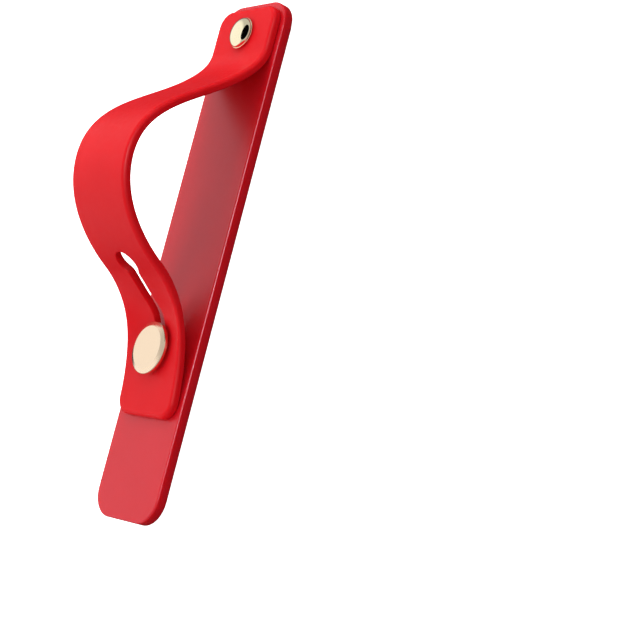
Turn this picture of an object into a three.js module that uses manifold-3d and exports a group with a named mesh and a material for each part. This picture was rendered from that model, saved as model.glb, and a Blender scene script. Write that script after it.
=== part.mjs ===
import * as THREE from 'three';
import { mergeVertices } from 'three/addons/utils/BufferGeometryUtils.js';
import Module from 'manifold-3d';

// Finger strap for the back of a phone, in millimetres. It lies on its adhesive back:
// X is its width, Y its length and Z stands up from the back. The band is riveted near the
// +Y end, arches over a finger and is buttoned on a stud near the other end.

// Base strip
const BASE_LENGTH = 125;
const BASE_WIDTH = 24.5;
const BASE_THICKNESS = 2.7;
const BASE_CORNER = 7.5;
const BASE_EDGE = 0.3;

// Adhesive pad, let into the back of the base strip
const PAD_THICKNESS = 0.5;
const PAD_MARGIN = 1.5;

// Band
const BAND_WIDTH = 21.6;
const BAND_THICKNESS = 2;
const BAND_CORNER = 4;
const BAND_OUTER_EDGE = 1;
const BAND_INNER_EDGE = 0.3;
const BAND_END_INSET = 2.2;
const BAND_TAIL = 15.3;

// Arch of the band: places along Y from the rivet or the stud, heights above the seated band
const RIVET_END_INSET = 8.3;
const RIVET_TO_STUD = 77.6;
const RIVET_TO_RISE = 12.1;
const RISE_HEIGHT = 4.1;
const RISE_SLOPE = 0.75;
const RIVET_TO_CROWN = 39.9;
const CROWN_HEIGHT = 28.15;
const STUD_TO_FALL = 16.5;
const FALL_HEIGHT = 13.5;
const FALL_SLOPE = 1.034;
const BEND_FULLNESS = 0.36;
const DIP_SPREAD = 6;

// Slot that slides over the stud's neck, with a round eye at each end
const SLOT_TRAVEL = 22;
const SLOT_EYE_RADIUS = 3.6;
const SLOT_NECK_WIDTH = 3.7;
const SLOT_FILLET = 4;
const SLOT_EDGE = 0.45;

// Stud
const STUD_HEAD_RADIUS = 6.2;
const STUD_HEAD_THICKNESS = 1.4;
const STUD_HEAD_BEVEL = 0.45;
const STUD_NECK_RADIUS = 2.5;
const STUD_STAND = 3.8;
const STUD_BORE_RADIUS = 1.2;

// Rivet
const RIVET_RADIUS = 3.9;
const RIVET_HEIGHT = 2;
const RIVET_RIM = 0.35;
const RIVET_STEM_RADIUS = 1.6;
const RIVET_BORE_RADIUS = 0.95;

// Feet of the rivet and the stud, in the back of the base strip
const FOOT_RADIUS = 3.6;
const FOOT_THICKNESS = 0.7;
const FOOT_EDGE = 0.15;

// Clearances
const HOLE_CLEARANCE = 0.15;
const PRESS_CLEARANCE = 0.05;
const SEAT_GAP = 0.05;
const BORE_END_GAP = 0.3;

// Fineness
const BAND_STEPS = 76;
const CORNER_STEPS = 5;
const BAND_COLUMNS = 6;
const OUTER_EDGE_STEPS = 4;
const INNER_EDGE_STEPS = 2;
const SLOT_POINTS = 80;
const SLOT_EDGE_TURNS = [0, 30, 60];
const ROUND_SEGMENTS = 40;
const HOLE_SEGMENTS = 32;
const DOME_STEPS = 9;
const BEVEL_STEPS = 4;
const BASE_CORNER_STEPS = 8;
const BASE_EDGE_STEPS = 3;
const DIP_SAMPLES = 24;
const OVERCUT = 1;

const wasm = await Module();
wasm.setup();

// Places that follow from the sizes
const rivetY = BASE_LENGTH / 2 - RIVET_END_INSET;
const studY = rivetY - RIVET_TO_STUD;
const bandStartY = BASE_LENGTH / 2 - BAND_END_INSET;
const bandEndY = studY - BAND_TAIL;
const bandSeatZ = BASE_THICKNESS + SEAT_GAP + BAND_THICKNESS / 2;
const footSeatZ = PAD_THICKNESS + SEAT_GAP;
const footRecess = footSeatZ + FOOT_THICKNESS + SEAT_GAP;
const headZ = BASE_THICKNESS + STUD_STAND;
const capZ = bandSeatZ + BAND_THICKNESS / 2 + SEAT_GAP;

const silicone = new THREE.MeshStandardMaterial({ color: 0xdc2a2f, roughness: 0.55, metalness: 0 });
const siliconeBase = new THREE.MeshStandardMaterial({ color: 0xd23a44, roughness: 0.65, metalness: 0 });
const foam = new THREE.MeshStandardMaterial({ color: 0xe6e2dc, roughness: 0.8, metalness: 0 });
const polishedGold = new THREE.MeshStandardMaterial({ color: 0xe8d2a0, roughness: 0.12, metalness: 1 });
const brushedGold = new THREE.MeshStandardMaterial({ color: 0xeddab8, roughness: 0.35, metalness: 1 });

// Booleans on closed meshes

function toSolid(geometry) {
  const bare = geometry.clone();
  bare.deleteAttribute('normal');
  bare.deleteAttribute('uv');
  const merged = mergeVertices(bare, 1e-4);
  const vertProperties = new Float32Array(merged.attributes.position.array);
  const triVerts = new Uint32Array(merged.index.array);
  return new wasm.Manifold(new wasm.Mesh({ numProp: 3, vertProperties, triVerts }));
}

function toGeometry(solid) {
  const mesh = solid.getMesh();
  const geometry = new THREE.BufferGeometry();
  geometry.setAttribute('position', new THREE.BufferAttribute(mesh.vertProperties, 3));
  geometry.setIndex(new THREE.BufferAttribute(mesh.triVerts, 1));
  geometry.computeVertexNormals();
  return geometry;
}

function cut(body, cutters) {
  let solid = toSolid(body);
  for (const cutter of cutters) {
    solid = solid.subtract(toSolid(cutter));
  }
  return toGeometry(solid);
}

// Simple forms

function rodAt(radius, fromZ, toZ, y) {
  const rod = new THREE.CylinderGeometry(radius, radius, toZ - fromZ, HOLE_SEGMENTS);
  rod.rotateX(Math.PI / 2);
  rod.translate(0, y, (fromZ + toZ) / 2);
  return rod;
}

function roundedRectangle(width, length, corner) {
  const x = width / 2;
  const y = length / 2;
  const outline = new THREE.Shape();
  outline.moveTo(x, corner - y);
  outline.lineTo(x, y - corner);
  outline.absarc(x - corner, y - corner, corner, 0, Math.PI / 2);
  outline.lineTo(corner - x, y);
  outline.absarc(corner - x, y - corner, corner, Math.PI / 2, Math.PI);
  outline.lineTo(-x, corner - y);
  outline.absarc(corner - x, corner - y, corner, Math.PI, 1.5 * Math.PI);
  outline.lineTo(x - corner, -y);
  outline.absarc(x - corner, corner - y, corner, 1.5 * Math.PI, 2 * Math.PI);
  return outline;
}

function turned(profile) {
  const points = profile.map(([radius, z]) => new THREE.Vector2(radius, z));
  const geometry = new THREE.LatheGeometry(points, ROUND_SEGMENTS);
  geometry.rotateX(Math.PI / 2);
  return geometry;
}

// Base strip: a flat moulded strip with rounded corners, two rivet holes with a recess for
// the foot behind each, and a shallow tray for the adhesive pad

function baseStrip() {
  const outline = roundedRectangle(BASE_WIDTH, BASE_LENGTH, BASE_CORNER);
  const body = new THREE.ExtrudeGeometry(outline, {
    depth: BASE_THICKNESS - 2 * BASE_EDGE,
    bevelThickness: BASE_EDGE,
    bevelSize: BASE_EDGE,
    bevelOffset: -BASE_EDGE,
    bevelSegments: BASE_EDGE_STEPS,
    curveSegments: BASE_CORNER_STEPS,
  });
  body.translate(0, 0, BASE_EDGE);
  const tray = padForm(PAD_THICKNESS + OVERCUT, 0);
  tray.translate(0, 0, -OVERCUT);
  const through = BASE_THICKNESS + OVERCUT;
  const recess = FOOT_RADIUS + HOLE_CLEARANCE;
  return cut(body, [
    tray,
    rodAt(recess, -OVERCUT, footRecess, rivetY),
    rodAt(recess, -OVERCUT, footRecess, studY),
    rodAt(RIVET_STEM_RADIUS + HOLE_CLEARANCE, -OVERCUT, through, rivetY),
    rodAt(STUD_NECK_RADIUS + HOLE_CLEARANCE, -OVERCUT, through, studY),
  ]);
}

function padForm(thickness, clearance) {
  const shrink = PAD_MARGIN + clearance;
  const corner = BASE_CORNER - shrink;
  const outline = roundedRectangle(BASE_WIDTH - 2 * shrink, BASE_LENGTH - 2 * shrink, corner);
  return new THREE.ExtrudeGeometry(outline, {
    depth: thickness,
    bevelEnabled: false,
    curveSegments: BASE_CORNER_STEPS,
  });
}

function adhesivePad() {
  return padForm(PAD_THICKNESS - SEAT_GAP, PRESS_CLEARANCE);
}

// Band: a flat strip with rounded ends and bull-nosed edges, bent along one smooth line,
// with a slot cut through it

function bendTo(from, fromAngle, to, toAngle) {
  const reach = BEND_FULLNESS * from.distanceTo(to);
  const leave = new THREE.Vector2(Math.cos(fromAngle), Math.sin(fromAngle)).multiplyScalar(reach);
  const arrive = new THREE.Vector2(Math.cos(toAngle), Math.sin(toAngle)).multiplyScalar(reach);
  return new THREE.CubicBezierCurve(from, from.clone().add(leave), to.clone().sub(arrive), to);
}

function bandLine() {
  const start = new THREE.Vector2(bandStartY, bandSeatZ);
  const liftOff = new THREE.Vector2(rivetY - RIVET_RADIUS, bandSeatZ);
  const rise = new THREE.Vector2(rivetY - RIVET_TO_RISE, bandSeatZ + RISE_HEIGHT);
  const crown = new THREE.Vector2(rivetY - RIVET_TO_CROWN, bandSeatZ + CROWN_HEIGHT);
  const fall = new THREE.Vector2(studY + STUD_TO_FALL, bandSeatZ + FALL_HEIGHT);
  const end = new THREE.Vector2(bandEndY, bandSeatZ);
  const line = new THREE.CurvePath();
  line.add(new THREE.LineCurve(start, liftOff));
  line.add(bendTo(liftOff, Math.PI, rise, Math.PI - RISE_SLOPE));
  line.add(bendTo(rise, Math.PI - RISE_SLOPE, crown, Math.PI));
  line.add(bendTo(crown, Math.PI, fall, Math.PI + FALL_SLOPE));
  line.add(bendTo(fall, Math.PI + FALL_SLOPE, end, Math.PI));
  return line;
}

const middle = bandLine();
const bandLength = middle.getLength();

// Place on the band's middle line, with the direction that points away from the base there
function stationAt(along) {
  const share = THREE.MathUtils.clamp(along / bandLength, 0, 1);
  const point = middle.getPoint(share);
  const tangent = middle.getTangent(share);
  return { y: point.x, z: point.y, outY: tangent.y, outZ: -tangent.x };
}

// Distance along the band at which its middle line passes over a place on the base
function alongAt(y) {
  let low = 0;
  let high = bandLength;
  while (high - low > 1e-4) {
    const half = (low + high) / 2;
    if (stationAt(half).y > y) {
      low = half;
    } else {
      high = half;
    }
  }
  return low;
}

const studAlong = alongAt(studY);

// The head of the stud holds the middle of the band down while its edges keep their curve.
// The dip is deepest at the head's upper rim and fades along and across the band.
function dipShape(x, along) {
  const run = (along - studAlong + STUD_HEAD_RADIUS) / DIP_SPREAD;
  const side = (2 * x) / BAND_WIDTH;
  return Math.exp(-run * run) * Math.max(0, 1 - side * side);
}

function dipDepth() {
  const limit = headZ - SEAT_GAP;
  let depth = 0;
  for (let ring = 1; ring <= DIP_SAMPLES; ring++) {
    const radius = (STUD_HEAD_RADIUS * ring) / DIP_SAMPLES;
    for (let spoke = 0; spoke < DIP_SAMPLES; spoke++) {
      const angle = (2 * Math.PI * spoke) / DIP_SAMPLES;
      const x = radius * Math.cos(angle);
      const along = alongAt(studY + radius * Math.sin(angle));
      const station = stationAt(along);
      const outerZ = station.z + (station.outZ * BAND_THICKNESS) / 2;
      const needed = (outerZ - limit) / station.outZ;
      depth = Math.max(depth, needed / dipShape(x, along));
    }
  }
  return depth;
}

const dip = dipDepth();

function bandPoint(x, along, height) {
  const station = stationAt(along);
  const lift = height - dip * dipShape(x, along);
  return [x, station.y + station.outY * lift, station.z + station.outZ * lift];
}

// Rows across the band, from one rounded end to the other, drawn in by an inset
function bandRows(inset) {
  const rows = [];
  const corner = BAND_CORNER - inset;
  const straight = bandLength - 2 * BAND_CORNER;
  for (let i = 0; i <= CORNER_STEPS; i++) {
    const turn = ((Math.PI / 2) * i) / CORNER_STEPS;
    const half = BAND_WIDTH / 2 - BAND_CORNER + corner * Math.sin(turn);
    rows.push({ half, along: BAND_CORNER - corner * Math.cos(turn) });
  }
  for (let i = 1; i < BAND_STEPS; i++) {
    rows.push({ half: BAND_WIDTH / 2 - inset, along: BAND_CORNER + (straight * i) / BAND_STEPS });
  }
  for (let i = CORNER_STEPS; i >= 0; i--) {
    rows.push({ half: rows[i].half, along: bandLength - rows[i].along });
  }
  return rows;
}

// Insets and heights of the rounded edge, from the inner face to the outer face
function edgeLevels() {
  const levels = [];
  const face = BAND_THICKNESS / 2;
  for (let i = 0; i <= INNER_EDGE_STEPS; i++) {
    const turn = ((Math.PI / 2) * i) / INNER_EDGE_STEPS;
    const inset = BAND_INNER_EDGE * (1 - Math.sin(turn));
    levels.push({ inset, height: -face + BAND_INNER_EDGE * (1 - Math.cos(turn)) });
  }
  for (let i = 0; i <= OUTER_EDGE_STEPS; i++) {
    const turn = ((Math.PI / 2) * i) / OUTER_EDGE_STEPS;
    const inset = BAND_OUTER_EDGE * (1 - Math.cos(turn));
    levels.push({ inset, height: face - BAND_OUTER_EDGE * (1 - Math.sin(turn)) });
  }
  return levels;
}

function bandBody() {
  const positions = [];
  const triangles = [];
  const grids = edgeLevels().map(({ inset, height }) => {
    return bandRows(inset).map(({ half, along }) => {
      const row = [];
      for (let column = 0; column <= BAND_COLUMNS; column++) {
        const x = half * ((2 * column) / BAND_COLUMNS - 1);
        row.push(positions.length / 3);
        positions.push(...bandPoint(x, along, height));
      }
      return row;
    });
  });
  const lastRow = grids[0].length - 1;
  const inner = grids[0];
  const outer = grids[grids.length - 1];
  for (let row = 0; row < lastRow; row++) {
    for (let column = 0; column < BAND_COLUMNS; column++) {
      addQuad(triangles, inner, row, column, false);
      addQuad(triangles, outer, row, column, true);
    }
  }
  const rim = bandRim(lastRow);
  for (let level = 0; level + 1 < grids.length; level++) {
    for (let i = 0; i < rim.length; i++) {
      const [row, column] = rim[i];
      const [nextRow, nextColumn] = rim[(i + 1) % rim.length];
      const a = grids[level][row][column];
      const b = grids[level][nextRow][nextColumn];
      const c = grids[level + 1][nextRow][nextColumn];
      const d = grids[level + 1][row][column];
      triangles.push(a, c, b, a, d, c);
    }
  }
  const geometry = new THREE.BufferGeometry();
  geometry.setAttribute('position', new THREE.Float32BufferAttribute(positions, 3));
  geometry.setIndex(triangles);
  return geometry;
}

function addQuad(triangles, grid, row, column, faceOut) {
  const a = grid[row][column];
  const b = grid[row][column + 1];
  const c = grid[row + 1][column + 1];
  const d = grid[row + 1][column];
  if (faceOut) {
    triangles.push(a, c, b, a, d, c);
  } else {
    triangles.push(a, b, c, a, c, d);
  }
}

// Row and column of each point round the band's rim
function bandRim(lastRow) {
  const rim = [];
  for (let column = 0; column < BAND_COLUMNS; column++) {
    rim.push([0, column]);
  }
  for (let row = 0; row < lastRow; row++) {
    rim.push([row, BAND_COLUMNS]);
  }
  for (let column = BAND_COLUMNS; column > 0; column--) {
    rim.push([lastRow, column]);
  }
  for (let row = lastRow; row > 0; row--) {
    rim.push([row, 0]);
  }
  return rim;
}

// Outline of the slot, from the tip of the far eye round to the near eye and back again:
// path X runs along the band and path Y across it
function slotOutline() {
  const neck = SLOT_NECK_WIDTH / 2;
  const side = neck + SLOT_FILLET;
  const offset = Math.sqrt((SLOT_EYE_RADIUS + SLOT_FILLET) ** 2 - side ** 2);
  const turn = Math.atan2(side, offset);
  const quarter = Math.PI / 2;
  const far = studAlong - SLOT_TRAVEL;
  const outline = new THREE.Path();
  outline.absarc(far, 0, SLOT_EYE_RADIUS, Math.PI, turn, true);
  outline.absarc(far + offset, side, SLOT_FILLET, turn - Math.PI, -quarter, false);
  outline.absarc(studAlong - offset, side, SLOT_FILLET, -quarter, -turn, false);
  outline.absarc(studAlong, 0, SLOT_EYE_RADIUS, Math.PI - turn, turn - Math.PI, true);
  outline.absarc(studAlong - offset, -side, SLOT_FILLET, turn, quarter, false);
  outline.absarc(far + offset, -side, SLOT_FILLET, quarter, Math.PI - turn, false);
  outline.absarc(far, 0, SLOT_EYE_RADIUS, -turn, -Math.PI, true);
  const points = outline.getSpacedPoints(SLOT_POINTS);
  points.pop();
  return points;
}

// Triangles that close the slot's outline, in rungs between its two mirrored sides
function rungTriangles(count) {
  const half = count / 2;
  const triangles = [[0, 1, count - 1], [half - 1, half, half + 1]];
  for (let i = 1; i < half - 1; i++) {
    const opposite = count - i;
    triangles.push([i, i + 1, opposite], [i + 1, opposite - 1, opposite]);
  }
  return triangles;
}

// The slot's tool follows the bent band, and its sides flare at the outer face
function slotTool() {
  const face = BAND_THICKNESS / 2;
  const levels = [{ flare: 0, height: -face - OVERCUT }];
  for (const degrees of SLOT_EDGE_TURNS) {
    const turn = THREE.MathUtils.degToRad(degrees);
    const height = face - SLOT_EDGE * (1 - Math.sin(turn));
    levels.push({ flare: SLOT_EDGE * (1 - Math.cos(turn)), height });
  }
  levels.push({ flare: SLOT_EDGE, height: face + SLOT_EDGE / 2 });
  const outline = slotOutline();
  const count = outline.length;
  const positions = [];
  for (const { flare, height } of levels) {
    outline.forEach((point, i) => {
      const before = outline[(i + count - 1) % count];
      const after = outline[(i + 1) % count];
      const along = after.clone().sub(before).normalize();
      const x = -(point.y + flare * along.x);
      positions.push(...bandPoint(x, point.x - flare * along.y, height));
    });
  }
  const triangles = [];
  for (let level = 0; level + 1 < levels.length; level++) {
    for (let i = 0; i < count; i++) {
      const a = level * count + i;
      const b = level * count + ((i + 1) % count);
      triangles.push(a, b, b + count, a, b + count, a + count);
    }
  }
  const top = (levels.length - 1) * count;
  for (const [a, b, c] of rungTriangles(count)) {
    triangles.push(c, b, a, top + a, top + b, top + c);
  }
  const geometry = new THREE.BufferGeometry();
  geometry.setAttribute('position', new THREE.Float32BufferAttribute(positions, 3));
  geometry.setIndex(triangles);
  return geometry;
}

function fingerStrap() {
  const rivetHole = rodAt(RIVET_STEM_RADIUS + HOLE_CLEARANCE, 0, bandSeatZ + BAND_THICKNESS, rivetY);
  return cut(bandBody(), [slotTool(), rivetHole]);
}

// Rivet: a polished dome whose pin is pressed into a hollow stem from the back

function rivetCap() {
  const pinEnd = footSeatZ + FOOT_THICKNESS + BORE_END_GAP - capZ;
  const pinRadius = RIVET_BORE_RADIUS - PRESS_CLEARANCE;
  const profile = [[0, pinEnd], [pinRadius, pinEnd], [pinRadius, 0], [RIVET_RADIUS, 0]];
  for (let i = 0; i < DOME_STEPS; i++) {
    const turn = ((Math.PI / 2) * i) / DOME_STEPS;
    const rise = (RIVET_HEIGHT - RIVET_RIM) * Math.sin(turn);
    profile.push([RIVET_RADIUS * Math.cos(turn), RIVET_RIM + rise]);
  }
  profile.push([0, RIVET_HEIGHT]);
  return turned(profile);
}

function rivetFoot() {
  const stemTop = capZ - SEAT_GAP - footSeatZ;
  return turned([
    [0, 0],
    [FOOT_RADIUS - FOOT_EDGE, 0],
    [FOOT_RADIUS, FOOT_EDGE],
    [FOOT_RADIUS, FOOT_THICKNESS],
    [RIVET_STEM_RADIUS, FOOT_THICKNESS],
    [RIVET_STEM_RADIUS, stemTop],
    [RIVET_BORE_RADIUS, stemTop],
    [RIVET_BORE_RADIUS, FOOT_THICKNESS],
    [0, FOOT_THICKNESS],
  ]);
}

// Stud: a flat bevelled head on a neck, held by a pin that is pressed in from the back

function studButton() {
  const neckEnd = footSeatZ + FOOT_THICKNESS + SEAT_GAP - headZ;
  const rim = STUD_HEAD_THICKNESS - STUD_HEAD_BEVEL;
  const profile = [
    [0, -BORE_END_GAP],
    [STUD_BORE_RADIUS, -BORE_END_GAP],
    [STUD_BORE_RADIUS, neckEnd],
    [STUD_NECK_RADIUS, neckEnd],
    [STUD_NECK_RADIUS, 0],
    [STUD_HEAD_RADIUS - STUD_HEAD_BEVEL / 2, 0],
    [STUD_HEAD_RADIUS, STUD_HEAD_BEVEL / 2],
  ];
  for (let i = 0; i <= BEVEL_STEPS; i++) {
    const turn = ((Math.PI / 2) * i) / BEVEL_STEPS;
    const radius = STUD_HEAD_RADIUS - STUD_HEAD_BEVEL * (1 - Math.cos(turn));
    profile.push([radius, rim + STUD_HEAD_BEVEL * Math.sin(turn)]);
  }
  profile.push([0, STUD_HEAD_THICKNESS]);
  return turned(profile);
}

function studFoot() {
  const pinTop = headZ - 2 * BORE_END_GAP - footSeatZ;
  const pinRadius = STUD_BORE_RADIUS - PRESS_CLEARANCE;
  return turned([
    [0, 0],
    [FOOT_RADIUS - FOOT_EDGE, 0],
    [FOOT_RADIUS, FOOT_EDGE],
    [FOOT_RADIUS, FOOT_THICKNESS],
    [pinRadius, FOOT_THICKNESS],
    [pinRadius, pinTop],
    [0, pinTop],
  ]);
}

// The strap put together

function piece(name, geometry, material, y = 0, z = 0) {
  const mesh = new THREE.Mesh(geometry, material);
  mesh.name = name;
  mesh.position.set(0, y, z);
  return mesh;
}

const strap = new THREE.Group();
strap.add(piece('base_strip', baseStrip(), siliconeBase));
strap.add(piece('adhesive_pad', adhesivePad(), foam));
strap.add(piece('finger_strap', fingerStrap(), silicone));
strap.add(piece('rivet_cap', rivetCap(), polishedGold, rivetY, capZ));
strap.add(piece('rivet_foot', rivetFoot(), polishedGold, rivetY, footSeatZ));
strap.add(piece('stud_button', studButton(), brushedGold, studY, headZ));
strap.add(piece('stud_foot', studFoot(), polishedGold, studY, footSeatZ));

export default strap;
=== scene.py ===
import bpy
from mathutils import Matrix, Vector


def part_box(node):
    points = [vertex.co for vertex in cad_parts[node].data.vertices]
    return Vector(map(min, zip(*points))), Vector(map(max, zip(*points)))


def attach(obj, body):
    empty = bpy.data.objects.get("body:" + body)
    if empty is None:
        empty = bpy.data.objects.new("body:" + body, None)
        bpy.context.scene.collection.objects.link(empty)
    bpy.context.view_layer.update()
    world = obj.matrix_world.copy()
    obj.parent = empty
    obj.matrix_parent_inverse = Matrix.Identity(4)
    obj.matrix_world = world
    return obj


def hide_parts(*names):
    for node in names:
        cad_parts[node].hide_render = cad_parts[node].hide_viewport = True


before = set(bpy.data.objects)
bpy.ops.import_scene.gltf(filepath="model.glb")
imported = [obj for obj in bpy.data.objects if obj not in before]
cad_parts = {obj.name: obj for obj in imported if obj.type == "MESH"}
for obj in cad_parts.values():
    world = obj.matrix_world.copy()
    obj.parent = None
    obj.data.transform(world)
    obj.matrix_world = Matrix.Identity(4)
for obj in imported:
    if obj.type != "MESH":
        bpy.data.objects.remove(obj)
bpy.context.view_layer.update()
print("nodes:", ", ".join(sorted(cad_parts)))

import math

import bmesh
import bpy
import numpy as np
from mathutils import Vector

# %% [markdown]
# Every size comes from the frame where a solid shows it. What a box can't tell, such as the
# radius of an edge or the place where the band bends, is named here in metres.
# %% Read the sizes
MM = 0.001

base_low, base_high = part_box("base_strip")
band_low, band_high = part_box("finger_strap")
cap_low, cap_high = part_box("rivet_cap")
head_low, head_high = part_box("stud_button")

base_top = base_high.z
rivet_y = (cap_low.y + cap_high.y) / 2
rivet_radius = (cap_high.x - cap_low.x) / 2
stud_y = (head_low.y + head_high.y) / 2
head_radius = (head_high.x - head_low.x) / 2

BAND_THICKNESS = 2.0 * MM
SEAT_GAP = 0.05 * MM
band_width = band_high.x - band_low.x
band_seat = base_top + SEAT_GAP + BAND_THICKNESS / 2
print(f"band {band_width / MM:.1f} mm wide, rivet at {rivet_y / MM:.1f}, stud at {stud_y / MM:.1f}")

# %% [markdown]
# Material helpers. Each finish is a Principled shader, and everything that varies over the
# surface is driven from Object coordinates, which stay with the piece. A noise seldom leaves
# its middle values, so those are the ones that are spread.
# %% Material helpers
NOISE_LOW, NOISE_HIGH = 0.3, 0.7


def new_material(name):
    material = bpy.data.materials.new(name)
    material.use_nodes = True
    nodes = material.node_tree.nodes
    nodes.clear()
    shader = nodes.new("ShaderNodeBsdfPrincipled")
    output = nodes.new("ShaderNodeOutputMaterial")
    material.node_tree.links.new(shader.outputs[0], output.inputs[0])
    return material, shader


def noise(material, scale, detail=3.0):
    nodes, links = material.node_tree.nodes, material.node_tree.links
    place = nodes.new("ShaderNodeTexCoord")
    texture = nodes.new("ShaderNodeTexNoise")
    texture.inputs["Scale"].default_value = scale
    texture.inputs["Detail"].default_value = detail
    links.new(place.outputs["Object"], texture.inputs["Vector"])
    return texture.outputs[0]


def vary(material, source, low, high, target):
    """Spreads a 0 to 1 pattern between two values, for a shader's number socket."""
    spread = material.node_tree.nodes.new("ShaderNodeMapRange")
    spread.inputs["From Min"].default_value = NOISE_LOW
    spread.inputs["From Max"].default_value = NOISE_HIGH
    spread.inputs["To Min"].default_value = low
    spread.inputs["To Max"].default_value = high
    material.node_tree.links.new(source, spread.inputs["Value"])
    material.node_tree.links.new(spread.outputs["Result"], target)


def tint(material, source, low, high, target):
    """Spreads a 0 to 1 pattern between two colours."""
    ramp = material.node_tree.nodes.new("ShaderNodeValToRGB")
    ramp.color_ramp.elements[0].position = NOISE_LOW
    ramp.color_ramp.elements[0].color = (*low, 1)
    ramp.color_ramp.elements[1].position = NOISE_HIGH
    ramp.color_ramp.elements[1].color = (*high, 1)
    material.node_tree.links.new(source, ramp.inputs[0])
    material.node_tree.links.new(ramp.outputs[0], target)


def bump(material, source, strength, distance, target):
    node = material.node_tree.nodes.new("ShaderNodeBump")
    node.inputs["Strength"].default_value = strength
    node.inputs["Distance"].default_value = distance
    material.node_tree.links.new(source, node.inputs["Height"])
    material.node_tree.links.new(node.outputs[0], target)


print("material helpers: noise, vary, tint, bump")

# %% [markdown]
# Silicone is a soft, slightly see-through rubber. The band's is saturated and satin. The base
# strip's top looks dusty: it mirrors the bright side of the room as a pale haze, which is gone
# where the band stands in the way. Both have a very fine grain and a slow change of shade.
# %% Silicone finishes
STRAP_DEEP, STRAP_BRIGHT = (0.66, 0.005, 0.010), (0.71, 0.007, 0.013)
STRAP_ROUGHNESS = (0.40, 0.46)
STRAP_GLOSS = 0.14
STRAP_GLOW, STRAP_GLOW_REACH = 0.4, 3 * MM
STRAP_CLOUDS, STRAP_PATCHES, STRAP_GRAIN = 60, 900, 6000
STRAP_GRAIN_STRENGTH = 0.05
BASE_DEEP, BASE_BRIGHT = (0.58, 0.003, 0.009), (0.63, 0.005, 0.012)
BASE_ROUGHNESS = (0.30, 0.36)
BASE_GLOSS = 0.6
BASE_GLOW, BASE_GLOW_REACH = 0.6, 5 * MM
BASE_CLOUDS, BASE_PATCHES, BASE_GRAIN = 45, 700, 5000
BASE_GRAIN_STRENGTH = 0.12
DUST_TINT = (0.86, 0.84, 1.0, 1)
GLOW_COLOR = (1.0, 0.04, 0.04)
SILICONE_IOR = 1.41
GRAIN_DETAIL = 4
GRAIN_DEPTH = 0.02 * MM


def silicone(name, gloss, glow, glow_reach):
    """Red light wanders in the rubber and comes out again nearby, so its shades stay red."""
    material, shader = new_material(name)
    shader.inputs["IOR"].default_value = SILICONE_IOR
    shader.inputs["Specular IOR Level"].default_value = gloss
    shader.inputs["Subsurface Weight"].default_value = glow
    shader.inputs["Subsurface Radius"].default_value = GLOW_COLOR
    shader.inputs["Subsurface Scale"].default_value = glow_reach
    return material, shader


def strap_silicone():
    material, shader = silicone("satin_silicone", STRAP_GLOSS, STRAP_GLOW, STRAP_GLOW_REACH)
    clouds = noise(material, STRAP_CLOUDS)
    patches = noise(material, STRAP_PATCHES)
    grain = noise(material, STRAP_GRAIN, GRAIN_DETAIL)
    tint(material, clouds, STRAP_DEEP, STRAP_BRIGHT, shader.inputs["Base Color"])
    vary(material, patches, *STRAP_ROUGHNESS, shader.inputs["Roughness"])
    bump(material, grain, STRAP_GRAIN_STRENGTH, GRAIN_DEPTH, shader.inputs["Normal"])
    return material


def base_silicone():
    material, shader = silicone("dusty_silicone", BASE_GLOSS, BASE_GLOW, BASE_GLOW_REACH)
    shader.inputs["Specular Tint"].default_value = DUST_TINT
    clouds = noise(material, BASE_CLOUDS)
    patches = noise(material, BASE_PATCHES)
    grain = noise(material, BASE_GRAIN, GRAIN_DETAIL)
    tint(material, clouds, BASE_DEEP, BASE_BRIGHT, shader.inputs["Base Color"])
    vary(material, patches, *BASE_ROUGHNESS, shader.inputs["Roughness"])
    bump(material, grain, BASE_GRAIN_STRENGTH, GRAIN_DEPTH, shader.inputs["Normal"])
    return material


strap_finish = strap_silicone()
base_finish = base_silicone()
print("silicone finishes:", strap_finish.name, base_finish.name)

# %% [markdown]
# The fittings are plated in pale gold. The rivet's dome is polished like a mirror, with only a
# trace of unevenness. The stud's flat face is satin and the broad bevel round it is polished.
# %% Metal finishes
PLATE_SHADE = 0.97
PLATE_CLOUDS, PLATE_PATCHES = 2500, 3000
MIRROR_COLOR, MIRROR_ROUGHNESS = (0.90, 0.81, 0.56), (0.03, 0.06)
PRESSED_COLOR, PRESSED_ROUGHNESS = (0.80, 0.68, 0.42), (0.2, 0.3)
SATIN_COLOR = (0.88, 0.70, 0.51)
SATIN_REACH = 4.9 * MM
SATIN_FADE = 0.3 * MM
SATIN_ROUGHNESS, BEVEL_ROUGHNESS = 0.34, 0.14


def gold(name, color):
    material, shader = new_material(name)
    shader.inputs["Metallic"].default_value = 1.0
    darker = tuple(PLATE_SHADE * c for c in color)
    tint(material, noise(material, PLATE_CLOUDS), darker, color, shader.inputs["Base Color"])
    return material, shader


def even_gold(name, color, roughness):
    material, shader = gold(name, color)
    vary(material, noise(material, PLATE_PATCHES), *roughness, shader.inputs["Roughness"])
    return material


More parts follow.
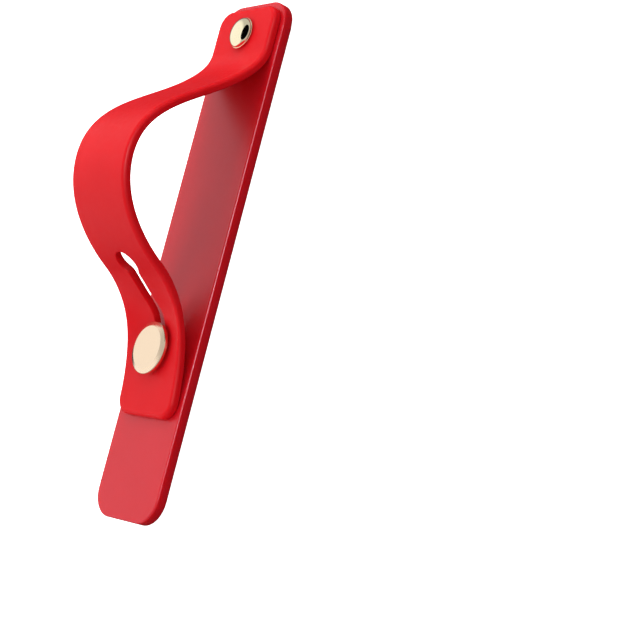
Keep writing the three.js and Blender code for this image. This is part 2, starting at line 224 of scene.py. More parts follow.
def stud_gold(name, color):
    """Satin on the flat face, polished beyond it: roughness by the distance from the axis."""
    material, shader = gold(name, color)
    nodes, links = material.node_tree.nodes, material.node_tree.links
    place = nodes.new("ShaderNodeTexCoord")
    flat = nodes.new("ShaderNodeVectorMath")
    flat.operation = "MULTIPLY_ADD"
    flat.inputs[1].default_value = (1, 1, 0)
    flat.inputs[2].default_value = (0, -stud_y, 0)
    reach = nodes.new("ShaderNodeVectorMath")
    reach.operation = "LENGTH"
    fade = nodes.new("ShaderNodeMapRange")
    fade.inputs["From Min"].default_value = SATIN_REACH
    fade.inputs["From Max"].default_value = SATIN_REACH + SATIN_FADE
    fade.inputs["To Min"].default_value = SATIN_ROUGHNESS
    fade.inputs["To Max"].default_value = BEVEL_ROUGHNESS
    links.new(place.outputs["Object"], flat.inputs[0])
    links.new(flat.outputs["Vector"], reach.inputs[0])
    links.new(reach.outputs["Value"], fade.inputs["Value"])
    links.new(fade.outputs["Result"], shader.inputs["Roughness"])
    return material


polished = even_gold("mirror_gold", MIRROR_COLOR, MIRROR_ROUGHNESS)
satin = stud_gold("satin_gold_plate", SATIN_COLOR)
plain = even_gold("pressed_gold", PRESSED_COLOR, PRESSED_ROUGHNESS)
print("metal finishes:", polished.name, satin.name, plain.name)

# %% [markdown]
# The adhesive is a pale matt acrylic sheet. It lies behind the strip, so it is seen only from
# the back.
# %% Adhesive finish
ADHESIVE_DEEP, ADHESIVE_BRIGHT = (0.66, 0.65, 0.61), (0.74, 0.73, 0.7)
ADHESIVE_ROUGHNESS = (0.35, 0.6)
ADHESIVE_MOTTLE, ADHESIVE_PATCHES, ADHESIVE_GRAIN = 500, 2500, 3000
ADHESIVE_GRAIN_STRENGTH, ADHESIVE_GRAIN_DEPTH = 0.2, 0.05 * MM


def adhesive():
    material, shader = new_material("acrylic_adhesive")
    mottle = noise(material, ADHESIVE_MOTTLE)
    patches = noise(material, ADHESIVE_PATCHES)
    grain = noise(material, ADHESIVE_GRAIN)
    tint(material, mottle, ADHESIVE_DEEP, ADHESIVE_BRIGHT, shader.inputs["Base Color"])
    vary(material, patches, *ADHESIVE_ROUGHNESS, shader.inputs["Roughness"])
    bump(material, grain, ADHESIVE_GRAIN_STRENGTH, ADHESIVE_GRAIN_DEPTH, shader.inputs["Normal"])
    return material


adhesive_finish = adhesive()
print("adhesive finish:", adhesive_finish.name)

# %% [markdown]
# Three helpers serve all the pieces. One makes a mesh object from points and faces, merges what
# coincides and turns the faces outwards. The next weighs each corner's normal by the area of
# the faces round it, so that a flat face stays flat beside a small rounded edge. The last counts
# the edges that don't join two faces, which is none on a closed piece.
# %% Mesh helpers
MERGE_DISTANCE = 0.001 * MM


def mesh_piece(name, points, faces):
    mesh = bpy.data.meshes.new(name)
    mesh.from_pydata([tuple(p) for p in points], [], faces)
    work = bmesh.new()
    work.from_mesh(mesh)
    bmesh.ops.remove_doubles(work, verts=work.verts, dist=MERGE_DISTANCE)
    bmesh.ops.dissolve_degenerate(work, edges=work.edges, dist=MERGE_DISTANCE / 10)
    bmesh.ops.recalc_face_normals(work, faces=work.faces)
    for face in work.faces:
        face.smooth = True
    work.to_mesh(mesh)
    work.free()
    piece = bpy.data.objects.new(name, mesh)
    bpy.context.scene.collection.objects.link(piece)
    return piece


def weigh_normals(piece):
    weighted = piece.modifiers.new("weighted_normals", "WEIGHTED_NORMAL")
    weighted.mode = "FACE_AREA"
    weighted.keep_sharp = True


def open_edges(piece):
    work = bmesh.new()
    work.from_mesh(piece.data)
    count = sum(1 for edge in work.edges if len(edge.link_faces) != 2)
    work.free()
    return count


print("points nearer than", MERGE_DISTANCE, "m are merged")

# %% [markdown]
# The strip and the band are both moulded flat: a long sheet with rounded corners, rounded
# edges and holes along its middle. The edge is a profile, a list of insets and heights from the
# under face round to the upper face, and each hole has a profile of its own.
# %% Edge profiles and round holes
HOLE_STEPS = 24
HOLE_MARGIN = 0.5 * MM


def quarter(radius, from_height, steps, upper):
    """Insets and heights of a rounded edge: from the under face out, or from the side in."""
    turns = np.linspace(0, math.pi / 2, steps + 1)
    if upper:
        return [(radius * (1 - math.cos(t)), from_height + radius * math.sin(t)) for t in turns]
    return [(radius * (1 - math.sin(t)), from_height + radius * (1 - math.cos(t))) for t in turns]


def round_hole(radius, along, profile):
    """Half of a hole's outline, which the sheet's other half mirrors."""
    turns = np.linspace(0, math.pi, HOLE_STEPS + 1)
    outward = [(math.sin(t), -math.cos(t)) for t in turns]
    points = [(radius * x, along + radius * y) for x, y in outward]
    margin = max(flare for flare, height in profile) + HOLE_MARGIN
    return {"points": points, "outward": outward, "profile": profile, "margin": margin}


def spaced(start, end, step):
    """Even places after start, up to end."""
    count = max(1, round((end - start) / step))
    return [start + (end - start) * (i + 1) / count for i in range(count)]


print("four even places from 0 to 1:", spaced(0, 1, 0.25))

# %% [markdown]
# A grid of rows across the sheet gives clean quads. At the rounded ends the rows stand closer,
# by even turns of the corner. At a hole, the row splits in two and its inner ends follow the
# hole's outline.
# %% Rows across a sheet
CORNER_STEPS = 14


def flat_rows(length, width, corner, step, holes):
    """Each row: the hole it meets, if any, and a function of inset and flare that gives its ends."""

    def rim_end(along, inset):
        near, far = along < corner, along > length - corner
        if not near and not far:
            return width / 2 - inset, along
        short = along if near else length - along
        turn = math.acos(min(1, max(0, 1 - short / corner)))
        x = width / 2 - corner + (corner - inset) * math.sin(turn)
        run = corner - (corner - inset) * math.cos(turn)
        return x, run if near else length - run

    def plain(along):
        def ends(inset, flare):
            outer = rim_end(along, inset)
            return outer, (0, outer[1])
        return ends

    def holed(point, outward):
        def ends(inset, flare):
            inner = (max(0.0, point[0] + outward[0] * flare), point[1] + outward[1] * flare)
            return rim_end(point[1], inset), inner
        return ends

    rounds = [corner * (1 - math.cos(t)) for t in np.linspace(0, math.pi / 2, CORNER_STEPS + 1)]
    plan = rounds + spaced(corner, length - corner, step)[:-1] + [length - r for r in rounds[::-1]]
    rows = [(along, None, plain(along)) for along in plan]
    for number, hole in enumerate(holes):
        first = hole["points"][0][1] - hole["margin"]
        last = hole["points"][-1][1] + hole["margin"]
        rows = [row for row in rows if not first - step / 4 < row[0] < last + step / 4]
        rows += [(first, None, plain(first)), (last, None, plain(last))]
        rows += [(p[1], number, holed(p, out)) for p, out in zip(hole["points"], hole["outward"])]
    rows.sort(key=lambda row: row[0])
    return [(number, ends) for along, number, ends in rows]


print("rows round each corner of a sheet:", CORNER_STEPS + 1)

# %% [markdown]
# The sheet itself: an upper and a lower face from the rows, a rim round the outside and a wall
# in each hole. Each half is made alike on its own side of the middle, and the two are merged.
# %% Flat sheets
COLUMN_SHARES = (0, 0.02, 0.12, 0.24, 0.36, 0.48, 0.6, 0.72, 0.84, 0.93, 0.98, 1)


def flat_sheet(length, width, corner, step, rim, holes=()):
    """Points (x, along, height) and faces of a flat sheet."""
    rows = flat_rows(length, width, corner, step, holes)
    points, faces = [], []

    def add(x, along, height):
        points.append((x, along, height))
        return len(points) - 1

    def face_row(ends, side, height):
        (outer_x, outer_along), (inner_x, inner_along) = ends
        return [
            add(side * (inner_x + (outer_x - inner_x) * share),
                inner_along + (outer_along - inner_along) * share, height)
            for share in COLUMN_SHARES
        ]

    def stitch(one, two):
        for i in range(len(one) - 1):
            faces.append((one[i], one[i + 1], two[i + 1], two[i]))

    for side in (-1, 1):
        for level in (0, -1):
            inset, height = rim[level]
            grid = []
            for number, ends in rows:
                flare = holes[number]["profile"][level][0] if number is not None else 0
                grid.append(face_row(ends(inset, flare), side, height))
            for one, two in zip(grid, grid[1:]):
                stitch(one, two)
        rings = []
        for inset, height in rim:
            ring = [add(side * x, along, height) for (x, along), _ in (e(inset, 0) for _, e in rows)]
            first, last = rows[0][1](inset, 0)[0], rows[-1][1](inset, 0)[0]
            start = [add(side * first[0] * s, first[1], height) for s in COLUMN_SHARES[:-1]]
            finish = [add(side * last[0] * s, last[1], height) for s in COLUMN_SHARES[-2::-1]]
            rings.append(start + ring + finish)
        for one, two in zip(rings, rings[1:]):
            stitch(one, two)
        for number, hole in enumerate(holes):
            walls = []
            for flare, height in hole["profile"]:
                inner = [ends(0, flare)[1] for owner, ends in rows if owner == number]
                walls.append([add(side * x, along, height) for x, along in inner])
            for one, two in zip(walls, walls[1:]):
                stitch(one, two)
    return points, faces


print("columns on each side of a sheet:", len(COLUMN_SHARES) - 1)

# %% [markdown]
# The base strip is the plain moulding that sticks to the phone. Its back has a shallow tray
# for the adhesive pad, and behind each metal fitting a deeper round recess for its foot.
# %% Base strip
BASE_CORNER = 6.3 * MM
BASE_EDGE = 0.45 * MM
BASE_UNDER_STEPS, BASE_UPPER_STEPS = 4, 5
PAD_MARGIN = 1.5 * MM
PAD_DEPTH = 0.5 * MM
FOOT_RECESS = 1.3 * MM
FOOT_RECESS_RADIUS = 3.75 * MM
STEM_HOLE = 1.75 * MM
NECK_HOLE = 2.65 * MM
BASE_STEP = 2.5 * MM


def base_strip():
    length, width = base_high.y - base_low.y, base_high.x - base_low.x
    rim = [(PAD_MARGIN, PAD_DEPTH), (PAD_MARGIN, 0)]
    rim += quarter(BASE_EDGE, 0, BASE_UNDER_STEPS, upper=False)
    rim += quarter(BASE_EDGE, base_top - BASE_EDGE, BASE_UPPER_STEPS, upper=True)

    def fitting_hole(radius, place):
        wide = FOOT_RECESS_RADIUS - radius
        profile = [(wide, PAD_DEPTH), (wide, FOOT_RECESS), (0, FOOT_RECESS), (0, base_top)]
        return round_hole(radius, place - base_low.y, profile)

    holes = [fitting_hole(NECK_HOLE, stud_y), fitting_hole(STEM_HOLE, rivet_y)]
    points, faces = flat_sheet(length, width, BASE_CORNER, BASE_STEP, rim, holes)
    placed = [(x, base_low.y + along, height) for x, along, height in points]
    piece = mesh_piece("base_strip_moulded", placed, faces)
    weigh_normals(piece)
    print("base strip:", len(piece.data.polygons), "faces,", open_edges(piece), "open edges")
    return piece


base = base_strip()
base.data.materials.append(base_finish)

# %% [markdown]
# The band follows one smooth line in the strap's side view: flat under the rivet, a soft rise,
# a round crown, a slope and a flat tail. A Bezier curve object holds that line, with a handle
# on each side of every bend.
# %% The line that the band follows
RIVET_TO_RISE = 12.1 * MM
RISE_HEIGHT = 4.1 * MM
RISE_SLOPE = 0.75
RIVET_TO_CROWN = 39.9 * MM
STUD_TO_FALL = 16.5 * MM
FALL_HEIGHT = 13.5 * MM
FALL_SLOPE = 1.034
BEND_FULLNESS = 0.36
LINE_RESOLUTION = 160
BAND_END_INSET = 1.8 * MM
band_start = base_high.y - BAND_END_INSET


def band_line():
    crown_height = band_high.z - BAND_THICKNESS / 2 - band_seat
    bends = [
        (band_start, 0, 0),
        (rivet_y - rivet_radius, 0, 0),
        (rivet_y - RIVET_TO_RISE, RISE_HEIGHT, -RISE_SLOPE),
        (rivet_y - RIVET_TO_CROWN, crown_height, 0),
        (stud_y + STUD_TO_FALL, FALL_HEIGHT, FALL_SLOPE),
        (band_low.y, 0, 0),
    ]
    places = [Vector((0, y, band_seat + height)) for y, height, slope in bends]
    headings = [Vector((0, -math.cos(slope), -math.sin(slope))) for y, height, slope in bends]
    curve = bpy.data.curves.new("band_line", "CURVE")
    curve.dimensions = "3D"
    curve.resolution_u = LINE_RESOLUTION
    spline = curve.splines.new("BEZIER")
    spline.bezier_points.add(len(places) - 1)
    for i, point in enumerate(spline.bezier_points):
        before = (places[i] - places[i - 1]).length if i else 0
        after = (places[i + 1] - places[i]).length if i + 1 < len(places) else 0
        point.co = places[i]
        point.handle_left_type = point.handle_right_type = "FREE"
        point.handle_left = places[i] - headings[i] * before * BEND_FULLNESS
        point.handle_right = places[i] + headings[i] * after * BEND_FULLNESS
    line = bpy.data.objects.new("band_line", curve)
    bpy.context.scene.collection.objects.link(line)
    return line


line = band_line()
line_points = [v.co.copy() for v in line.to_mesh().vertices]
line.to_mesh_clear()
line_steps = [(b - a).length for a, b in zip(line_points, line_points[1:])]
band_length = sum(line_steps)
stud_along = next(
    sum(line_steps[:i]) for i, point in enumerate(line_points) if point.y <= stud_y
)
print(f"band {band_length / MM:.1f} mm long, stud {stud_along / MM:.1f} mm along it")

# %% [markdown]
# The slot is a dumbbell: a round eye at each end and a narrow neck between them, with fillets
# where they meet. Half of its outline is enough, because the sheet is mirrored. The metal
# stud sits in the near eye, and the far eye shows on the slope of the loop.
# %% Slot outline
SLOT_TRAVEL = 22 * MM
EYE_RADIUS = 3.2 * MM
SLOT_NECK = 3.9 * MM
SLOT_FILLET = 2 * MM
SLOT_EDGE = 0.25 * MM
SLOT_UNDER_EDGE = 0.5 * MM
SLOT_LIP_STEPS, SLOT_UNDER_STEPS = 6, 3
EYE_STEPS, FILLET_STEPS = 26, 8
NECK_STEP = 0.6 * MM


def arc(centre, radius, start, end, steps, inward=False):
    """Points (x, along) and their outward directions on an arc of the slot's outline."""
    found = []
    for turn in np.linspace(start, end, steps + 1):
        along, x = math.cos(turn), math.sin(turn)
        sign = -1 if inward else 1
        found.append(((centre[0] + radius * x, centre[1] + radius * along), (sign * x, sign * along)))
    return found


def slot_hole(profile):
    side = SLOT_NECK / 2 + SLOT_FILLET
    offset = math.sqrt((EYE_RADIUS + SLOT_FILLET) ** 2 - side ** 2)
    turn = math.atan2(side, offset)
    far, near = stud_along - SLOT_TRAVEL, stud_along
    square = math.pi / 2
    half = arc((0, far), EYE_RADIUS, math.pi, turn, EYE_STEPS)
    half += arc((side, far + offset), SLOT_FILLET, turn - math.pi, -square, FILLET_STEPS, True)[1:]
    for along in spaced(far + offset, near - offset, NECK_STEP)[:-1]:
        half.append(((SLOT_NECK / 2, along), (1, 0)))
    half += arc((side, near - offset), SLOT_FILLET, -square, -turn, FILLET_STEPS, True)
    half += arc((0, near), EYE_RADIUS, math.pi - turn, 0, EYE_STEPS)[1:]
    points = [point for point, outward in half]
    outward = [direction for point, direction in half]
    return {"points": points, "outward": outward, "profile": profile, "margin": SLOT_EDGE * 2}


def through_profile(under_edge, upper_edge):
    """Flares and heights of a hole's wall, with a rounded lip at both faces."""
    face = BAND_THICKNESS / 2
    under = quarter(under_edge, -face, SLOT_UNDER_STEPS, upper=False)
    upper = quarter(upper_edge, face - upper_edge, SLOT_LIP_STEPS, upper=True)
    return under + upper


slot = slot_hole(through_profile(SLOT_UNDER_EDGE, SLOT_EDGE))
print(f"slot {(slot['points'][-1][1] - slot['points'][0][1]) / MM:.1f} mm long")

# %% [markdown]
# Bending is a rule, so Geometry Nodes do it. The flat band goes in with its length along Y and
# its height along Z. For each point the tree samples the line at that length, stands up from
# it by the height, and keeps X. The stud's head holds the middle of the band down, while its
# free edges keep their curve, so the height sinks in a soft dip beside the stud.
# %% Bend the band with Geometry Nodes


def bending_tree():
    tree = bpy.data.node_groups.new("bend_along_line", "GeometryNodeTree")
    face = tree.interface

    def socket(name, kind, way="INPUT"):
        return face.new_socket(name=name, in_out=way, socket_type=kind)

    socket("Geometry", "NodeSocketGeometry")
    socket("Line", "NodeSocketObject")
    socket("Width", "NodeSocketFloat")
    socket("Dip depth", "NodeSocketFloat")
    socket("Dip place", "NodeSocketFloat")
    socket("Dip spread", "NodeSocketFloat")
    socket("Material", "NodeSocketMaterial")
    socket("Geometry", "NodeSocketGeometry", "OUTPUT")
    nodes, links = tree.nodes, tree.links
    inputs = nodes.new("NodeGroupInput").outputs

    def math_node(operation, first, second=None):
        node = nodes.new("ShaderNodeMath")
        node.operation = operation
        for socket_in, value in zip(node.inputs, (first, second)):
            if hasattr(value, "is_output"):
                links.new(value, socket_in)
            elif value is not None:
                socket_in.default_value = value
        return node.outputs[0]

    def vector_node(operation, first, second=None, scale=None):
        node = nodes.new("ShaderNodeVectorMath")
        node.operation = operation
        for socket_in, value in zip(node.inputs, (first, second)):
            if hasattr(value, "is_output"):
                links.new(value, socket_in)
            elif value is not None:
                socket_in.default_value = value
        if scale is not None:
            links.new(scale, node.inputs["Scale"])
        return node.outputs[0]

    split = nodes.new("ShaderNodeSeparateXYZ")
    links.new(nodes.new("GeometryNodeInputPosition").outputs[0], split.inputs[0])
    x, along, height = split.outputs

    follow = nodes.new("GeometryNodeObjectInfo")
    links.new(inputs["Line"], follow.inputs["Object"])
    sample = nodes.new("GeometryNodeSampleCurve")
    sample.mode = "LENGTH"
    links.new(follow.outputs["Geometry"], sample.inputs["Curves"])
    links.new(along, sample.inputs["Length"])

    from_dip = math_node("SUBTRACT", along, inputs["Dip place"])
    run = math_node("DIVIDE", from_dip, inputs["Dip spread"])
    run_square = math_node("MULTIPLY", run, run)
    fade_along = math_node("EXPONENT", math_node("MULTIPLY", run_square, -1.0))
    side = math_node("DIVIDE", math_node("MULTIPLY", x, 2.0), inputs["Width"])
    side_square = math_node("MULTIPLY", side, side)
    fade_across = math_node("MAXIMUM", math_node("SUBTRACT", 1.0, side_square), 0.0)
    fade = math_node("MULTIPLY", fade_along, fade_across)
    lift = math_node("SUBTRACT", height, math_node("MULTIPLY", fade, inputs["Dip depth"]))

    upright = vector_node("CROSS_PRODUCT", sample.outputs["Tangent"], (1, 0, 0))
    out = vector_node("NORMALIZE", upright)
    raised = vector_node("SCALE", out, scale=lift)
    across = nodes.new("ShaderNodeCombineXYZ")
    links.new(x, across.inputs[0])
    above_line = vector_node("ADD", sample.outputs["Position"], raised)
    place = vector_node("ADD", above_line, across.outputs[0])

    move = nodes.new("GeometryNodeSetPosition")
    links.new(inputs["Geometry"], move.inputs["Geometry"])
    links.new(place, move.inputs["Position"])
    realize = nodes.new("GeometryNodeRealizeInstances")
    links.new(move.outputs[0], realize.inputs[0])
    finish = nodes.new("GeometryNodeSetMaterial")
    links.new(realize.outputs[0], finish.inputs["Geometry"])
    links.new(inputs["Material"], finish.inputs["Material"])
    links.new(finish.outputs[0], nodes.new("NodeGroupOutput").inputs[0])
    return tree


bend = bending_tree()
print("tree", bend.name, "has", len(bend.nodes), "nodes")

# %% [markdown]
# The flat band is made first, with the rivet's hole and the slot. Then the tree bends it, and
# the result is kept as a plain mesh. The outer edges of the band are rounded like a bull's nose
# and its inner edges are almost sharp.
# %% Make the band
BAND_CORNER = 4 * MM
BAND_OUTER_EDGE = 1 * MM
BAND_INNER_EDGE = 0.3 * MM
OUTER_EDGE_STEPS, INNER_EDGE_STEPS = 10, 4
BAND_STEP = 0.6 * MM
DIP_DEPTH = 2.64 * MM
DIP_SPREAD = 6 * MM


def run_tree(piece, tree, values):
    """Runs a tree on a piece and keeps the result as a plain mesh."""
    modifier = piece.modifiers.new(tree.name, "NODES")
    modifier.node_group = tree
    for item in tree.interface.items_tree:
        if item.in_out == "INPUT" and item.name in values:
            modifier[item.identifier] = values[item.name]
    evaluated = piece.evaluated_get(bpy.context.evaluated_depsgraph_get())
    mesh = bpy.data.meshes.new_from_object(evaluated)
    piece.modifiers.clear()
    piece.data = mesh
    return piece


half_thick = BAND_THICKNESS / 2
band_rim = quarter(BAND_INNER_EDGE, -half_thick, INNER_EDGE_STEPS, upper=False)
band_rim += quarter(BAND_OUTER_EDGE, half_thick - BAND_OUTER_EDGE, OUTER_EDGE_STEPS, upper=True)
stem_profile = [(0, -half_thick), (0, half_thick)]
holes = [round_hole(STEM_HOLE, band_start - rivet_y, stem_profile), slot]
points, faces = flat_sheet(band_length, band_width, BAND_CORNER, BAND_STEP, band_rim, holes)
band = mesh_piece("finger_strap_moulded", points, faces)
run_tree(band, bend, {
    "Line": line,
    "Width": band_width,
    "Dip depth": DIP_DEPTH,
    "Dip place": stud_along - head_radius,
    "Dip spread": DIP_SPREAD,
    "Material": strap_finish,
})
bpy.data.objects.remove(line)
weigh_normals(band)
print("band:", len(band.data.polygons), "faces,", open_edges(band), "open edges")

# %% [markdown]
# The rivet and the stud are turned parts. A profile of radii and heights goes once round the
# fitting's axis, which stands upright on the strip.
# %% Turned pieces
TURN_STEPS = 128


def turned_piece(name, profile, centre_y, base_z):
    points, faces = [], []
    count = len(profile)
    for i in range(TURN_STEPS):
        turn = 2 * math.pi * i / TURN_STEPS
        for radius, z in profile:
            points.append((radius * math.cos(turn), centre_y + radius * math.sin(turn), base_z + z))
    for i in range(TURN_STEPS):
        here, there = i * count, ((i + 1) % TURN_STEPS) * count
        for j in range(count - 1):
            faces.append([here + j, there + j, there + j + 1, here + j + 1])
    piece = mesh_piece(name, points, faces)
    weigh_normals(piece)
    print(f"{name}: {len(piece.data.polygons)} faces, {open_edges(piece)} open edges")
    return piece


print("each turned piece has", TURN_STEPS, "sides")

# %% [markdown]
# The rivet is a low polished dome with a rolled rim, on a pin that goes down through the band.
# %% Rivet dome
RIVET_PIN = 0.9 * MM
RIM_ROLL = 0.27 * MM
RIM_END = math.radians(72)
RIM_STEPS = 12
DOME_STEPS = 24
dome_seat = band_seat + BAND_THICKNESS / 2 + SEAT_GAP
dome_height = cap_high.z - dome_seat


def dome_profile():
    pin_end = cap_low.z - dome_seat
    profile = [(0, pin_end), (RIVET_PIN, pin_end), (RIVET_PIN, 0)]
    for turn in np.linspace(-math.pi / 2, RIM_END, RIM_STEPS + 1):
        inset, height = RIM_ROLL * (1 - math.cos(turn)), RIM_ROLL * (1 + math.sin(turn))
        profile.append((rivet_radius - inset, height))
    foot_radius, foot_height = profile[-1]
    for turn in np.linspace(0, math.pi / 2, DOME_STEPS + 1)[1:-1]:
        rise = foot_height + (dome_height - foot_height) * math.sin(turn)
        profile.append((foot_radius * math.cos(turn), rise))
    profile.append((0, dome_height))
    return profile


rivet = turned_piece("rivet_dome", dome_profile(), rivet_y, dome_seat)
rivet.data.materials.append(polished)

# %% [markdown]
# The stud is a flat disc with a broad bevel, on a neck that the band's slot slides round. A
# hollow end of the neck takes the pin of the foot behind it. A ring on either side of the
# bevel's inner end keeps the crease there crisp.
# %% Stud head
HEAD_THICKNESS = 1.4 * MM
BEVEL_WIDTH = 1.2 * MM
BEVEL_HEIGHT = 0.4 * MM
BEVEL_ROLL = 0.3 * MM
CREASE = 0.04 * MM
HEAD_UNDER = 0.2 * MM
NECK_RADIUS = 2.5 * MM
BORE_RADIUS = 1.2 * MM
BORE_END = 0.3 * MM
UNDER_STEPS, ROLL_STEPS = 4, 8
head_seat = head_high.z - HEAD_THICKNESS
neck_end = head_low.z - head_seat


def head_profile():
    profile = [(0, -BORE_END), (BORE_RADIUS, -BORE_END), (BORE_RADIUS, neck_end)]
    profile += [(NECK_RADIUS, neck_end), (NECK_RADIUS, 0), (head_radius - HEAD_UNDER, 0)]
    for turn in np.linspace(0, math.pi / 2, UNDER_STEPS + 1)[1:]:
        inset, height = HEAD_UNDER * (1 - math.sin(turn)), HEAD_UNDER * (1 - math.cos(turn))
        profile.append((head_radius - inset, height))
    roll_foot = HEAD_THICKNESS - BEVEL_HEIGHT - BEVEL_ROLL
    for inset, height in quarter(BEVEL_ROLL, roll_foot, ROLL_STEPS, upper=True)[:-2]:
        profile.append((head_radius - inset, height))
    for inset in (BEVEL_WIDTH - CREASE, BEVEL_WIDTH, BEVEL_WIDTH + CREASE):
        drop = BEVEL_HEIGHT * max(0, BEVEL_WIDTH - inset) / (BEVEL_WIDTH - BEVEL_ROLL)
        profile.append((head_radius - inset, HEAD_THICKNESS - drop))
    profile.append((0, HEAD_THICKNESS))
    return profile


stud = turned_piece("stud_head", head_profile(), stud_y, head_seat)
stud.data.materials.append(satin)

# %% [markdown]
# The adhesive pad and the two feet behind the fittings are plain flat parts that hardly show,
# so they keep their solids and only get a finish.
# %% Solids that stay
hidden_finishes = {"rivet_foot": plain, "stud_foot": plain, "adhesive_pad": adhesive_finish}
for node_name, finish in hidden_finishes.items():
    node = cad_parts[node_name]
    node.data.materials.clear()
    node.data.materials.append(finish)
print("finished solids:", ", ".join(hidden_finishes))

# %% [markdown]
# Each made piece rides on the strap's one body and stands for the solid that it replaces.
# %% Tie the pieces to the frame
ties = [
    (base, "base_strip", "base_silicone"),
    (band, "finger_strap", "strap_silicone"),
    (rivet, "rivet_cap", "polished_gold"),
    (stud, "stud_button", "satin_gold"),
]
for piece, node_name, slot_name in ties:
    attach(piece, "root")
    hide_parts(node_name)
print("pieces:", ", ".join(piece.name for piece, node_name, slot_name in ties))

# %% [markdown]
# The camera looks down on the strap from its right side and is rolled, so that the strap
# stands upright in the picture. A long lens keeps its sides nearly parallel.
# %% Camera
CAMERA_PLACE = Vector((300.96, -62.18, 205.01)) * MM
CAMERA_TURN = (24.3635, 46.8431, 20.7389)
CAMERA_LENS = 89.187
SENSOR_WIDTH = 36
NEAR_CLIP = 10 * MM

camera_data = bpy.data.cameras.new("camera")
camera_data.lens = CAMERA_LENS
camera_data.sensor_width = SENSOR_WIDTH
camera_data.clip_start = NEAR_CLIP
camera = bpy.data.objects.new("camera", camera_data)
camera.location = CAMERA_PLACE
camera.rotation_euler = [math.radians(angle) for angle in CAMERA_TURN]
bpy.context.scene.collection.objects.link(camera)
bpy.context.scene.camera = camera
print("camera at", [round(c, 3) for c in CAMERA_PLACE])

# %% [markdown]
# The floor is white and lit from within, as a cut-out picture on white paper needs. It takes
# no part in the light on the strap, whose undersides then stay dark.
# %% White floor
FLOOR_SIZE = 4.0
FLOOR_DROP = 0.05 * MM
FLOOR_GLOW = 1.1
FLOOR_COLOR = (0.9, 0.9, 0.9, 1)
FLOOR_ROUGHNESS = 0.8
WHITE = (1, 1, 1, 1)


def floor():
    half = FLOOR_SIZE / 2
    corners = [(x * half, y * half, -FLOOR_DROP) for x, y in ((-1, -1), (1, -1), (1, 1), (-1, 1))]
    mesh = bpy.data.meshes.new("floor")
    mesh.from_pydata(corners, [], [(0, 1, 2, 3)])
    plane = bpy.data.objects.new("floor", mesh)
    bpy.context.scene.collection.objects.link(plane)
    material, shader = new_material("floor")
    shader.inputs["Base Color"].default_value = FLOOR_COLOR
    shader.inputs["Roughness"].default_value = FLOOR_ROUGHNESS
    shader.inputs["Emission Color"].default_value = WHITE
    shader.inputs["Emission Strength"].default_value = FLOOR_GLOW
    mesh.materials.append(material)
    plane.visible_diffuse = plane.visible_glossy = False
    return plane


print("floor", floor().name)

# %% [markdown]
# The polished dome mirrors a black round opening above it, so a black card hangs there. Only
# mirror rays see the card, and it casts no shadow.
# %% Black card
CARD_DIRECTION = Vector((0.34, 0.13, 0.93)).normalized()
CARD_DISTANCE = 60 * MM
CARD_RADIUS = 52 * MM
CARD_SIDES = 64
CARD_COLOR = (0.004, 0.003, 0.002, 1)


def black_card():
    bpy.ops.mesh.primitive_circle_add(
        vertices=CARD_SIDES,
        radius=CARD_RADIUS,
        fill_type="NGON",
        location=Vector((0, rivet_y, cap_high.z)) + CARD_DIRECTION * CARD_DISTANCE,
        rotation=CARD_DIRECTION.to_track_quat("-Z", "Y").to_euler(),
    )
    card = bpy.context.object
    card.name = "black_card"
    material, shader = new_material("black_card")
    shader.inputs["Base Color"].default_value = CARD_COLOR
    shader.inputs["Specular IOR Level"].default_value = 0
    card.data.materials.append(material)
    card.visible_camera = card.visible_diffuse = card.visible_shadow = False
    return card


print("card", black_card().name, "hangs over the rivet")

# %% [markdown]
# The room is a bright soft wall on the strap's left, a dimmer rest and a dark floor. A room that
# is the same all round would leave the metal flat. It is made from the direction of each ray,
# so it has no edges, only soft changes from one brightness to the next.
# %% The room
ROOM_REST = 0.62
LEFT_WALL = 1.12
ROOM_BELOW = 0.06
LEFT_DIRECTION = Vector((-0.85, -0.15, 0.5)).normalized()
LEFT_ANGLES = (40, 54)
UPWARDS = Vector((0, 0, 1))
HORIZON_ANGLES = (82, 96)


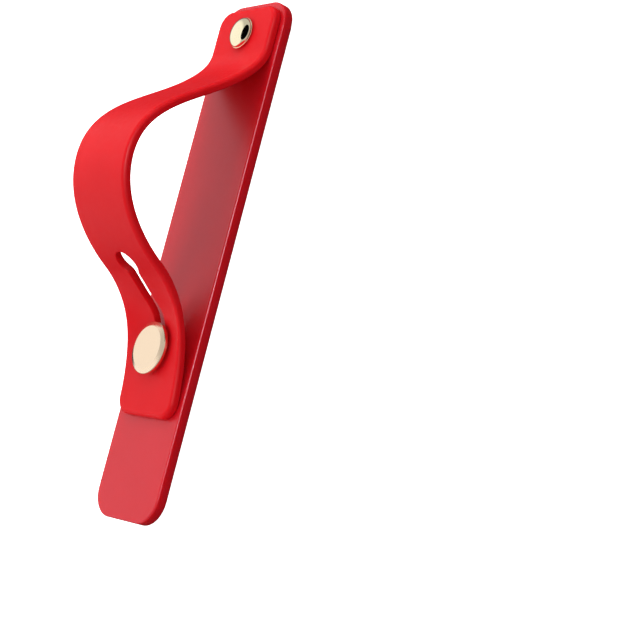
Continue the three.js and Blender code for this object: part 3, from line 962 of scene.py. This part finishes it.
def room():
    world = bpy.data.worlds.new("room")
    bpy.context.scene.world = world
    world.use_nodes = True
    nodes, links = world.node_tree.nodes, world.node_tree.links
    direction = nodes.new("ShaderNodeTexCoord").outputs["Generated"]

    def toward(axis, angles):
        """1 within the first angle of the axis and 0 beyond the second."""
        dot = nodes.new("ShaderNodeVectorMath")
        dot.operation = "DOT_PRODUCT"
        links.new(direction, dot.inputs[0])
        dot.inputs[1].default_value = axis
        edge = nodes.new("ShaderNodeMapRange")
        edge.interpolation_type = "SMOOTHSTEP"
        edge.inputs["From Min"].default_value = math.cos(math.radians(angles[1]))
        edge.inputs["From Max"].default_value = math.cos(math.radians(angles[0]))
        links.new(dot.outputs["Value"], edge.inputs["Value"])
        return edge.outputs["Result"]

    def blend(share, low, high):
        mix = nodes.new("ShaderNodeMix")
        links.new(share, mix.inputs["Factor"])
        for socket, value in ((mix.inputs["A"], low), (mix.inputs["B"], high)):
            if hasattr(value, "is_output"):
                links.new(value, socket)
            else:
                socket.default_value = value
        return mix.outputs["Result"]

    light = blend(toward(LEFT_DIRECTION, LEFT_ANGLES), ROOM_REST, LEFT_WALL)
    light = blend(toward(UPWARDS, HORIZON_ANGLES), ROOM_BELOW, light)
    links.new(light, nodes["Background"].inputs["Strength"])
    nodes["Background"].inputs["Color"].default_value = WHITE


room()
bpy.context.scene.view_settings.view_transform = "Standard"
print("room", bpy.context.scene.world.name, "is from", ROOM_BELOW, "to", LEFT_WALL, "bright")

# %% [markdown]
# Three soft lamps light the faces and stay unseen in the metal: one over the strap's left,
# which gives the band its shadow on the strip, one behind it and one low on its right. A small
# lamp near the camera does the opposite: it only draws the thin pale line on each moulded edge,
# and it is linked to the rubber alone, so that the metal doesn't mirror it. Each lamp is a
# place, a size and a power.
# %% Lamps
SOFT_LAMPS = {
    "key": ((-0.20, -0.26, 0.56), 0.45, 1.1),
    "back": ((-0.02, 0.58, 0.30), 0.40, 2.4),
    "side": ((0.55, -0.06, 0.14), 0.40, 0.8),
}
EDGE_LAMP = ((0.36, 0.09, 0.40), 0.12, 3.0)


def area_light(name, place, size, power):
    """A square lamp, in metres and watts, that faces the middle of the strip."""
    data = bpy.data.lights.new(name, "AREA")
    data.size = size
    data.energy = power
    lamp = bpy.data.objects.new(name, data)
    lamp.location = place
    lamp.rotation_euler = (-Vector(place)).to_track_quat("-Z", "Y").to_euler()
    bpy.context.scene.collection.objects.link(lamp)
    return lamp


for lamp_name, (place, size, power) in SOFT_LAMPS.items():
    area_light(lamp_name, place, size, power).visible_glossy = False
edge_lamp = area_light("edge_lamp", *EDGE_LAMP)
edge_lamp.visible_diffuse = False
rubber = bpy.data.collections.new("rubber")
edge_lamp.light_linking.receiver_collection = rubber
for piece in (base, band):
    rubber.objects.link(piece)
print("lamps:", ", ".join(SOFT_LAMPS), "and the edge lamp")
